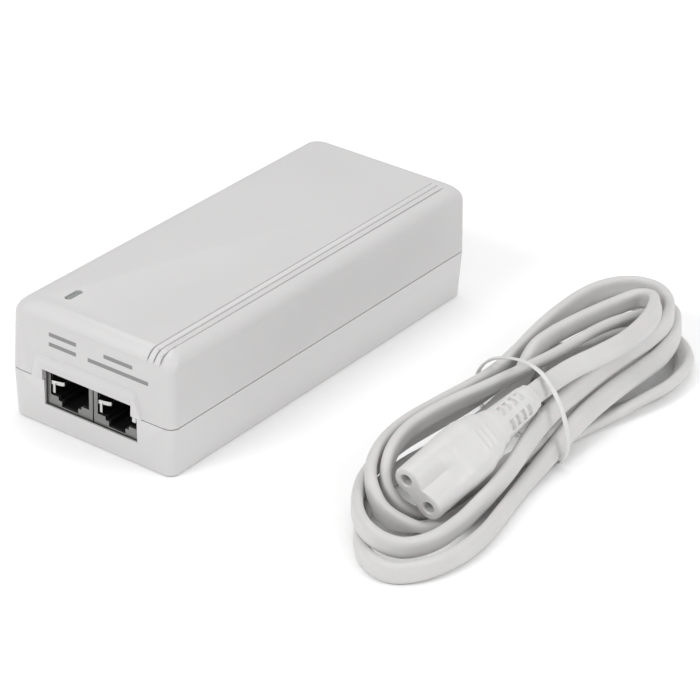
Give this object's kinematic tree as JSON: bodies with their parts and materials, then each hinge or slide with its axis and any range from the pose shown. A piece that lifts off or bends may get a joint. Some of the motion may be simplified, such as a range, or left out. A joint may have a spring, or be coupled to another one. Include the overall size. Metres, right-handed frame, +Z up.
{
  "type": "power over ethernet injector",
  "caption": "Slim two-part plastic box with two modular network sockets on one end, a figure-eight mains inlet on the other and a tied mains lead beside it.",
  "frame": {"origin": "centre of the case's footprint, on the surface it stands on", "axes": "+X across the case towards the mains lead, -Y out of the network sockets, +Y out of the mains inlet, +Z up"},
  "size_m": [0.1347, 0.1535, 0.0344],
  "materials": {
    "case_plastic": "fine matte moulding",
    "board": "solder mask",
    "black_plastic": "moulded",
    "shield_metal": "tinned sheet",
    "contact_gold": "gold flash",
    "steel": "nickel plated",
    "brass": "bright",
    "light_pipe": "clear moulding",
    "led_body": "moulded",
    "label": "blank film",
    "aluminium": "mill",
    "ferrite": "sintered",
    "winding_tape": "taped winding",
    "capacitor_sleeve": "shrunk sleeve",
    "film_capacitor": "moulded",
    "fuse_glass": "clear with end caps",
    "lead_plastic": "soft moulded",
    "tie_plastic": "coated wire"
  },
  "bodies": {
    "case": {"upper_cover": "case_plastic", "lower_case": "case_plastic", "rating_label": "label", "circuit_board": "board", "board_screw_1": "steel", "board_screw_2": "steel", "inlet_housing": "black_plastic", "inlet_pin_1": "steel", "inlet_pin_2": "steel", "light_pipe": "light_pipe", "status_led": "led_body", "data_in_magnetics": "black_plastic", "power_out_magnetics": "black_plastic", "output_capacitor_1": "capacitor_sleeve", "output_capacitor_2": "capacitor_sleeve", "controller_chip": "black_plastic", "optocoupler": "black_plastic", "transformer_core": "ferrite", "transformer_winding": "winding_tape", "bulk_capacitor": "capacitor_sleeve", "heat_sink": "aluminium", "switching_transistor": "black_plastic", "bridge_rectifier": "black_plastic", "common_mode_choke": "winding_tape", "mains_filter_capacitor": "film_capacitor", "mains_fuse": "fuse_glass", "data_in_socket_shield": "shield_metal", "data_in_socket_housing": "black_plastic", "power_out_socket_shield": "shield_metal", "power_out_socket_housing": "black_plastic"},
    "data_in_contacts": {"data_in_contact_1": "contact_gold", "data_in_contact_2": "contact_gold", "data_in_contact_3": "contact_gold", "data_in_contact_4": "contact_gold", "data_in_contact_5": "contact_gold", "data_in_contact_6": "contact_gold", "data_in_contact_7": "contact_gold", "data_in_contact_8": "contact_gold"},
    "power_out_contacts": {"power_out_contact_1": "contact_gold", "power_out_contact_2": "contact_gold", "power_out_contact_3": "contact_gold", "power_out_contact_4": "contact_gold", "power_out_contact_5": "contact_gold", "power_out_contact_6": "contact_gold", "power_out_contact_7": "contact_gold", "power_out_contact_8": "contact_gold"},
    "mains_lead": {"mains_cord": "lead_plastic", "mains_cord_hank": "lead_plastic", "twist_tie": "tie_plastic", "lead_connector": "lead_plastic", "connector_sleeve_1": "brass", "connector_sleeve_2": "brass", "mains_plug_body": "lead_plastic", "mains_plug_blade_1": "brass", "mains_plug_blade_2": "brass"}
  },
  "joints": [
    {"name": "data_in_contacts_flex", "type": "hinge", "parent": "case", "child": "data_in_contacts", "pos_m": [-0.0079, -0.0619, 0.0168], "axis": [1, 0, 0], "range_deg": [0, 12], "stiffness_Nm_per_rad": 0.02},
    {"name": "power_out_contacts_flex", "type": "hinge", "parent": "case", "child": "power_out_contacts", "pos_m": [0.0079, -0.0619, 0.0168], "axis": [1, 0, 0], "range_deg": [0, 12], "stiffness_Nm_per_rad": 0.02},
    {"name": "mains_lead_lift", "type": "slide", "parent": "case", "child": "mains_lead", "axis": [0, 0, 1], "range_m": [0, 0.12]}
  ]
}
